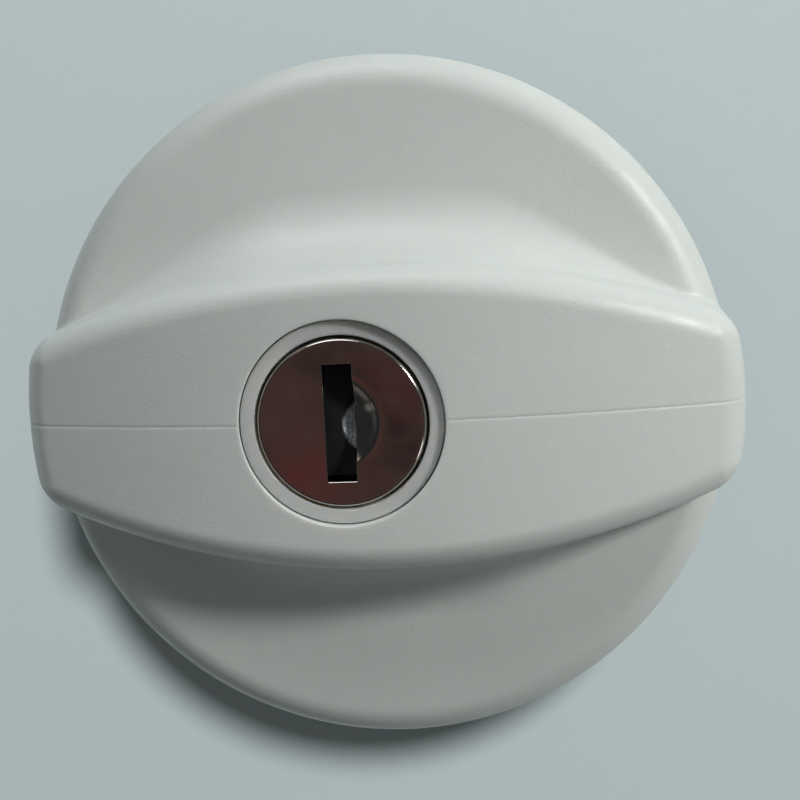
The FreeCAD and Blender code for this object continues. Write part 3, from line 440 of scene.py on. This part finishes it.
# ---------------------------------------------------------------- material helpers
class Nodes:
    """Short ways to add shader nodes to one material. Scales are per metre and depths are in metres."""

    def __init__(self, name):
        self.material = bpy.data.materials.new(name)
        self.material.use_nodes = True
        self.tree = self.material.node_tree
        self.shader = self.tree.nodes["Principled BSDF"]
        self.place = self.add("ShaderNodeTexCoord").outputs["Object"]

    def add(self, kind, **values):
        """A node of that kind, with its settings."""
        made = self.tree.nodes.new(kind)
        for key, value in values.items():
            setattr(made, key, value)
        return made

    def link(self, out, into):
        self.tree.links.new(out, into)

    def stretched(self, scale):
        """Object coordinates stretched along the axes, for brushed or turned marks."""
        mapping = self.add("ShaderNodeMapping")
        mapping.inputs["Scale"].default_value = scale
        self.link(self.place, mapping.inputs["Vector"])
        return mapping.outputs["Vector"]

    def noise(self, scale, detail=3.0, vector=None, rough=0.5):
        """Soft clouds between 0 and 1."""
        made = self.add("ShaderNodeTexNoise")
        made.inputs["Scale"].default_value = scale
        made.inputs["Detail"].default_value = detail
        made.inputs["Roughness"].default_value = rough
        self.link(vector or self.place, made.inputs["Vector"])
        return made.outputs["Fac"]

    def cells(self, scale):
        """Distance from the middle of small uneven cells."""
        made = self.add("ShaderNodeTexVoronoi")
        made.inputs["Scale"].default_value = scale
        self.link(self.place, made.inputs["Vector"])
        return made.outputs["Distance"]

    def away_from(self, centre):
        """Distance from the upright line through a point."""
        flat = self.add("ShaderNodeVectorMath", operation="MULTIPLY")
        flat.inputs[1].default_value = (1, 1, 0)
        self.link(self.place, flat.inputs[0])
        away = self.add("ShaderNodeVectorMath", operation="DISTANCE")
        away.inputs[1].default_value = centre
        self.link(flat.outputs["Vector"], away.inputs[0])
        return away.outputs["Value"]

    def ramp(self, value, low, high, first, last):
        """A colour between first and last as value goes from low to high."""
        made = self.add("ShaderNodeValToRGB")
        made.color_ramp.elements[0].position = low
        made.color_ramp.elements[1].position = high
        made.color_ramp.elements[0].color = (*first, 1)
        made.color_ramp.elements[1].color = (*last, 1)
        self.link(value, made.inputs["Fac"])
        return made.outputs["Color"]

    def range(self, value, low, high, first, last):
        """A number between first and last as value goes from low to high."""
        made = self.add("ShaderNodeMapRange")
        for key, number in (("From Min", low), ("From Max", high), ("To Min", first), ("To Max", last)):
            made.inputs[key].default_value = number
        self.link(value, made.inputs["Value"])
        return made.outputs["Result"]

    def mixed(self, share, first, last):
        """First where share is 0, last where it is 1."""
        made = self.add("ShaderNodeMix", data_type="RGBA")
        self.link(share, made.inputs["Factor"])
        self.link(first, made.inputs[6])
        self.link(last, made.inputs[7])
        return made.outputs[2]

    def bump(self, *layers):
        """Bump layers, each a height, its depth in metres and its strength."""
        normal = None
        for height, distance, strength in layers:
            made = self.add("ShaderNodeBump")
            made.inputs["Strength"].default_value = strength
            made.inputs["Distance"].default_value = distance
            self.link(height, made.inputs["Height"])
            if normal is not None:
                self.link(normal, made.inputs["Normal"])
            normal = made.outputs["Normal"]
        self.link(normal, self.shader.inputs["Normal"])

    def colour(self, out):
        self.link(out, self.shader.inputs["Base Color"])

    def roughness(self, out):
        self.link(out, self.shader.inputs["Roughness"])

    def fixed(self, **values):
        """Values that are the same all over, set on the shader's own sockets."""
        for key, value in values.items():
            self.shader.inputs[key.replace("_", " ")].default_value = value

    def glow(self, colour, strength=None):
        """Makes the material give light of that colour in place of the shader's look."""
        made = self.add("ShaderNodeEmission")
        self.link(colour, made.inputs["Color"])
        if strength is not None:
            self.link(strength, made.inputs["Strength"])
        self.link(made.outputs["Emission"], self.tree.nodes["Material Output"].inputs["Surface"])


def tint(colour, factor):
    """The colour made lighter or darker, up to full."""
    return tuple(min(c * factor, 1.0) for c in colour)


def grained_plastic(name, colour, grain, depth):
    """Moulded plastic from a spark-eroded tool: a fine even grain, faint flow marks and handling marks."""
    nodes = Nodes(name)
    flow = nodes.noise(60, 3)
    marks = nodes.noise(700, 4)
    base = nodes.ramp(flow, 0.3, 0.7, tint(colour, 0.965), tint(colour, 1.0))
    dusty = nodes.ramp(marks, 0.25, 0.62, tint(colour, 0.95), tint(colour, 1.01))
    nodes.colour(nodes.mixed(nodes.range(marks, 0.55, 0.75, 0.0, 0.6), base, dusty))
    fine = nodes.noise(grain, 2.5, rough=0.6)
    pits = nodes.cells(grain * 0.55)
    nodes.roughness(nodes.range(nodes.noise(900, 3), 0.3, 0.7, 0.37, 0.49))
    nodes.bump((fine, depth, 0.8), (pits, depth * 0.8, 0.5))
    nodes.fixed(Specular_IOR_Level=0.5, Subsurface_Weight=0.35, Subsurface_Scale=0.0012,
                Subsurface_Radius=(1.0, 0.75, 0.5))
    return nodes.material


def smooth_plastic(name, colour):
    """Smooth milky nylon that light goes well into."""
    nodes = Nodes(name)
    cloud = nodes.noise(120, 3)
    nodes.colour(nodes.ramp(cloud, 0.3, 0.7, tint(colour, 0.96), colour))
    nodes.roughness(nodes.range(nodes.noise(1500, 3), 0.3, 0.7, 0.25, 0.4))
    nodes.bump((nodes.noise(2600, 2), 0.000006, 0.4))
    nodes.fixed(Subsurface_Weight=0.9, Subsurface_Scale=0.0022, Subsurface_Radius=(1.0, 0.85, 0.65))
    return nodes.material


def filled_nylon(name, colour):
    """Black glass-filled nylon: fibres show as short pale streaks in a slightly uneven skin."""
    nodes = Nodes(name)
    fibre = nodes.noise(500, 2, nodes.stretched((6.0, 1.0, 1.0)))
    nodes.colour(nodes.ramp(fibre, 0.5, 0.78, colour, tint(colour, 2.1)))
    nodes.roughness(nodes.range(nodes.noise(350, 4), 0.3, 0.7, 0.38, 0.6))
    nodes.bump((fibre, 0.00002, 0.5), (nodes.noise(2500, 2), 0.00001, 0.5))
    return nodes.material


def chrome(name, colour):
    """Bright plating with hairline scratches and a few dull spots."""
    nodes = Nodes(name)
    haze = nodes.noise(420, 4)
    hair = nodes.noise(900, 3, nodes.stretched((9.0, 0.6, 1.0)))
    nodes.colour(nodes.ramp(haze, 0.35, 0.7, tint(colour, 0.86), colour))
    nodes.roughness(nodes.range(haze, 0.35, 0.75, 0.10, 0.20))
    nodes.bump((hair, 0.000002, 0.2), (nodes.noise(260, 2), 0.00001, 0.1))
    nodes.fixed(Metallic=1.0)
    return nodes.material


def metal(name, colour, rough, stretch, cast=False):
    """Worked metal: brushed along one axis, or mottled as cast, with darker handled patches."""
    nodes = Nodes(name)
    lines = nodes.noise(700 if cast else 1500, 3, nodes.stretched(stretch))
    patches = nodes.noise(260, 4)
    nodes.colour(nodes.ramp(patches, 0.3, 0.72, tint(colour, 0.72), tint(colour, 1.05)))
    nodes.roughness(nodes.range(lines, 0.25, 0.75, rough - 0.08, rough + 0.12))
    nodes.bump((lines, 0.000012 if cast else 0.000005, 0.5))
    nodes.fixed(Metallic=1.0)
    return nodes.material


def dished_steel(name, colour):
    """Blackened steel, pitted, with a pale patch in the dish that the key's tip rubs: part wear, part a
    painted highlight of the light that reaches into the slot.
    """
    nodes = Nodes(name)
    # Painted highlight: the pale specked patch stands in for light caught in the dish behind the slot, as
    # well as for wear.
    glint_and_wear = nodes.range(nodes.away_from((SHUTTER_DISH_X * MM, SHUTTER_DISH_Y * MM, 0)),
                       SHUTTER_DISH * MM, (SHUTTER_DISH - SHUTTER_DISH_EDGE) * MM, 0.0, 1.0)
    specks = nodes.noise(5200, 4, rough=0.7)
    dark = nodes.ramp(specks, 0.3, 0.7, tint(colour, 0.7), colour)
    pale = nodes.ramp(specks, 0.38, 0.66, (0.20, 0.24, 0.27), (0.85, 0.9, 0.95))
    nodes.colour(nodes.mixed(glint_and_wear, dark, pale))
    nodes.roughness(nodes.range(specks, 0.3, 0.7, 0.65, 0.4))
    nodes.bump((specks, 0.00003, 0.7))
    nodes.fixed(Metallic=0.6)
    return nodes.material


def rubber(name, colour):
    """Matt black rubber with a faint grey bloom."""
    nodes = Nodes(name)
    bloom = nodes.noise(300, 4)
    nodes.colour(nodes.ramp(bloom, 0.4, 0.75, colour, tint(colour, 2.0)))
    nodes.roughness(nodes.range(bloom, 0.3, 0.7, 0.7, 0.9))
    nodes.bump((nodes.noise(3200, 2), 0.00002, 0.6))
    return nodes.material


def floor_surface(name, colour):
    """A pale, faintly uneven table top."""
    nodes = Nodes(name)
    nodes.colour(nodes.ramp(nodes.noise(9, 3), 0.3, 0.7, tint(colour, 0.985), colour))
    nodes.roughness(nodes.range(nodes.noise(700, 3), 0.3, 0.7, 0.55, 0.68))
    nodes.bump((nodes.noise(1800, 3), 0.00001, 0.3))
    return nodes.material


WHITE = (0.66, 0.69, 0.665)
FINISHES = {
    "white_plastic": grained_plastic("white_grained_plastic", WHITE, 7000, 0.000016),
    "white_nylon": smooth_plastic("white_smooth_nylon", (0.68, 0.68, 0.64)),
    "black_nylon": filled_nylon("black_filled_nylon", (0.028, 0.028, 0.031)),
    "chrome_face": chrome("chromed_sheet", (0.62, 0.58, 0.55)),
    "zinc": metal("zinc_casting", (0.36, 0.36, 0.37), 0.42, (1.0, 1.0, 1.0), cast=True),
    "shutter_steel": dished_steel("blackened_steel", (0.03, 0.032, 0.036)),
    "steel": metal("bright_steel", (0.56, 0.57, 0.58), 0.3, (4.0, 1.0, 1.0)),
    "spring_steel": metal("spring_steel_wire", (0.42, 0.42, 0.43), 0.32, (1.0, 1.0, 4.0)),
    "screw_steel": metal("zinc_plated_steel", (0.6, 0.61, 0.63), 0.3, (1.0, 1.0, 1.0)),
    "brass": metal("stamped_brass", (0.72, 0.54, 0.25), 0.3, (5.0, 1.0, 1.0)),
    "gasket_rubber": rubber("black_gasket_rubber", (0.022, 0.022, 0.023)),
}


def finish_nodes():
    """Gives every CAD node the finish that the record names for it."""
    named = {row["node"]: row["material_slot"] for row in frame["record"]["subparts"]}
    for name, thing in frame["nodes"].items():
        thing.data.materials.clear()
        thing.data.materials.append(FINISHES[named[name]])


# ---------------------------------------------------------------- stage, light and camera: sizes
# Lengths are in metres here, but for the camera's place, in millimetres. Lamp powers are in watts.
SKY = 0.11
SKY_IN_GLOSS = 0.03
TABLE_HALF = 3.0
TABLE_BELOW = 0.00005
CAP_MIDDLE = (0, 0, 0.02)

CAMERA = (13.93, 19.54, 152.98)
LENS = 67.0
SENSOR = 36.0
NEAREST_SEEN = 0.005
LOOKS_ALONG = (-0.096, -0.148, -0.984)
PICTURE_RIGHT = (0.995, -0.050, -0.090)

CARD_HALF = 0.17
CARD_HEIGHT = 0.38
FACE_TO_CARD = 1 + (CARD_HEIGHT / MM - FACE_TOP) / (CAMERA[2] - FACE_TOP)
WALL_LOW = 0.03
WALL_HIGH = 0.36
WALL_DIMS_FROM = 0.14
ROUND_PARTS = 48
SPOT_FAR = 0.6

# What the dark card shows: where the face mirrors each patch, in millimetres from the lock's middle, then
# its reach and colour. A patch hides PATCH_COVER of the clouds out to PATCH_CORE of its reach, then fades.
PATCH_CORE = 0.3
PATCH_COVER = 0.85
PATCHES = (
    (4.4, -2.6, 0.024, (0.022, 0.024, 0.024)),
    (0.5, 5.5, 0.022, (0.035, 0.030, 0.028)),
    (-2.9, -4.2, 0.011, (0.21, 0.018, 0.040)),
    (4.8, 3.0, 0.010, (0.19, 0.020, 0.040)),
)

# Each lamp: name, place, what it is aimed at, width, power, colour, and whether the table takes its light.
LAMPS = (
    ("key", (0.21, 0.117, 0.175), CAP_MIDDLE, 0.05, 0.5, (1.0, 0.985, 0.955), "EXCLUDE"),
    ("window", (-0.16, 0.73, 0.29), CAP_MIDDLE, 0.55, 2.6, (0.95, 0.98, 1.0), "EXCLUDE"),
    ("fill", (0.24, -0.16, 0.22), CAP_MIDDLE, 0.08, 0.06, (1.0, 0.99, 0.97), "EXCLUDE"),
    ("table_light", (0.22, 0.43, 0.9), (0, 0, 0), 0.15, 7.5, (0.93, 0.98, 1.0), "INCLUDE"),
)


# ---------------------------------------------------------------- stage, light and camera
def aim(thing, place, target):
    """Puts a thing at a place, facing a target."""
    thing.location = Vector(place)
    thing.rotation_mode = "QUATERNION"
    thing.rotation_quaternion = (Vector(target) - Vector(place)).to_track_quat("-Z", "Y")


def square(half):
    """Corners of a level square round the origin."""
    return [(-half, -half, 0), (half, -half, 0), (half, half, 0), (-half, half, 0)]


def circle(radius, z):
    """Points of a level circle round the upright line through the origin."""
    turns = [2 * math.pi * k / ROUND_PARTS for k in range(ROUND_PARTS)]
    return [(radius * math.cos(turn), radius * math.sin(turn), z) for turn in turns]


def stage_piece(name, points, faces, material):
    """A mesh of the stage, from points in metres."""
    mesh = bpy.data.meshes.new(name)
    mesh.from_pydata(points, [], faces)
    mesh.materials.append(material)
    thing = bpy.data.objects.new(name, mesh)
    bpy.context.scene.collection.objects.link(thing)
    return thing


def hide_from_all_but_gloss(thing):
    """Only the reflections in shiny surfaces see the thing."""
    thing.visible_camera = False
    thing.visible_diffuse = False
    thing.visible_shadow = False
    thing.visible_transmission = False


def make_floor():
    """The pale table, a hair's breadth below the cap's foot."""
    surface = floor_surface("pale_table", (0.62, 0.68, 0.67))
    floor = stage_piece("floor", square(TABLE_HALF), [(0, 1, 2, 3)], surface)
    floor.location.z = -TABLE_BELOW


def make_world():
    """A pale sky for soft light, and a dim one for what the gloss mirrors, as in a room at dusk."""
    bpy.context.scene.view_settings.view_transform = "Standard"
    world = bpy.data.worlds.new("studio")
    bpy.context.scene.world = world
    world.use_nodes = True
    tree = world.node_tree
    soft = tree.nodes["Background"]
    soft.inputs["Color"].default_value = (0.84, 0.93, 0.95, 1)
    soft.inputs["Strength"].default_value = SKY
    seen = tree.nodes.new("ShaderNodeBackground")
    seen.inputs["Color"].default_value = (0.9, 0.95, 1.0, 1)
    seen.inputs["Strength"].default_value = SKY_IN_GLOSS
    path = tree.nodes.new("ShaderNodeLightPath")
    chosen = tree.nodes.new("ShaderNodeMixShader")
    tree.links.new(path.outputs["Is Glossy Ray"], chosen.inputs["Fac"])
    tree.links.new(soft.outputs["Background"], chosen.inputs[1])
    tree.links.new(seen.outputs["Background"], chosen.inputs[2])
    tree.links.new(chosen.outputs["Shader"], tree.nodes["World Output"].inputs["Surface"])


def make_lights():
    """A near lamp on the right, a broad window behind, a weak fill, and a light for the table alone."""
    for name, place, target, width, power, colour, state in LAMPS:
        data = bpy.data.lights.new(name, "AREA")
        data.shape = "DISK"
        data.size = width
        data.energy = power
        data.color = colour
        lamp = bpy.data.objects.new(name, data)
        aim(lamp, place, target)
        bpy.context.scene.collection.objects.link(lamp)
        linked = bpy.data.collections.new(name + "_and_floor")
        linked.objects.link(bpy.data.objects["floor"])
        linked.collection_objects[0].light_linking.link_state = state
        lamp.light_linking.receiver_collection = linked


def make_camera():
    """The camera over the cap, looking almost straight down."""
    data = bpy.data.cameras.new("camera")
    data.sensor_width = SENSOR
    data.lens = LENS
    data.clip_start = NEAREST_SEEN
    camera = bpy.data.objects.new("camera", data)
    forward = Vector(LOOKS_ALONG).normalized()
    right = Vector(PICTURE_RIGHT)
    right = (right - forward * right.dot(forward)).normalized()
    up = right.cross(forward)
    camera.rotation_mode = "QUATERNION"
    camera.rotation_quaternion = Matrix((right, up, -forward)).transposed().to_quaternion()
    camera.location = Vector(CAMERA) * MM
    bpy.context.scene.collection.objects.link(camera)
    bpy.context.scene.camera = camera


def make_dark_card():
    """A dark card over the lock, for the gloss alone: a dim brown room with two red things in it.

    It hangs where the camera sees its middle mirrored in the lock's middle.
    """
    nodes = Nodes("dim_room")
    cloud = nodes.ramp(nodes.noise(22, 3), 0.3, 0.7, (0.040, 0.026, 0.023), (0.115, 0.066, 0.055))
    for face_x, face_y, reach, colour in PATCHES:
        away = nodes.away_from((FACE_TO_CARD * face_x * MM, FACE_TO_CARD * face_y * MM, 0))
        patch = nodes.ramp(away, 0.0, 1.0, colour, colour)
        cloud = nodes.mixed(nodes.range(away, reach * PATCH_CORE, reach, PATCH_COVER, 0.0), cloud, patch)
    nodes.glow(cloud)
    card = stage_piece("dark_card", square(CARD_HALF), [(0, 1, 2, 3)], nodes.material)
    beyond = FACE_TO_CARD - 1
    camera = bpy.context.scene.camera.location
    card.location = (LOCK_X * MM * (beyond + 1) - beyond * camera.x, -beyond * camera.y, CARD_HEIGHT)
    hide_from_all_but_gloss(card)


def make_low_wall():
    """A dim wall all round, low down, for the gloss alone: it draws a fine light line on every edge."""
    points = circle(1, WALL_LOW) + circle(1, WALL_HIGH)
    pairs = [(k, (k + 1) % ROUND_PARTS) for k in range(ROUND_PARTS)]
    faces = [(k, after, ROUND_PARTS + after, ROUND_PARTS + k) for k, after in pairs]
    nodes = Nodes("dim_wall")
    apart = nodes.add("ShaderNodeSeparateXYZ")
    nodes.link(nodes.place, apart.inputs["Vector"])
    colour = nodes.ramp(nodes.noise(2.5, 2), 0.3, 0.7, (0.13, 0.13, 0.125), (0.30, 0.30, 0.29))
    nodes.glow(colour, nodes.range(apart.outputs["Z"], WALL_DIMS_FROM, WALL_HIGH, 1.0, 0.1))
    wall = stage_piece("low_wall", points, faces, nodes.material)
    hide_from_all_but_gloss(wall)


def make_pale_spot(name, azimuth, lift, width, strength):
    """A small soft-edged pale disc, for the gloss alone, seen from the lock at the angles in degrees."""
    turn, rise = math.radians(azimuth), math.radians(lift)
    away = Vector((math.cos(turn) * math.cos(rise), math.sin(turn) * math.cos(rise), math.sin(rise)))
    target = Vector((LOCK_X * MM, 0, FACE_TOP * MM))
    nodes = Nodes(name + "_glow")
    colour = nodes.ramp(nodes.noise(14, 3), 0.3, 0.7, (0.72, 0.72, 0.68), (1.0, 1.0, 0.96))
    nodes.glow(colour, nodes.range(nodes.away_from((0, 0, 0)), 0, width / 2, strength, 0))
    spot = stage_piece(name, circle(width / 2, 0), [tuple(range(ROUND_PARTS))], nodes.material)
    aim(spot, target + away * SPOT_FAR, target)
    hide_from_all_but_gloss(spot)


# ---------------------------------------------------------------- build
make_floor()
make_world()
make_lights()
make_camera()
make_dark_card()
make_low_wall()
make_pale_spot("pale_spot_back", 131, 30, 0.2, 1.1)
make_pale_spot("pale_spot_left", 207, 17, 0.16, 0.3)
finish_nodes()

knob = make_knob()
knob.data.materials.append(FINISHES["white_plastic"])
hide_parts("knob_shell")
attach(knob, "cap")

face = make_face()
face.data.materials.append(FINISHES["chrome_face"])
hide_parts("plug_face_cap")
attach(face, "plug")
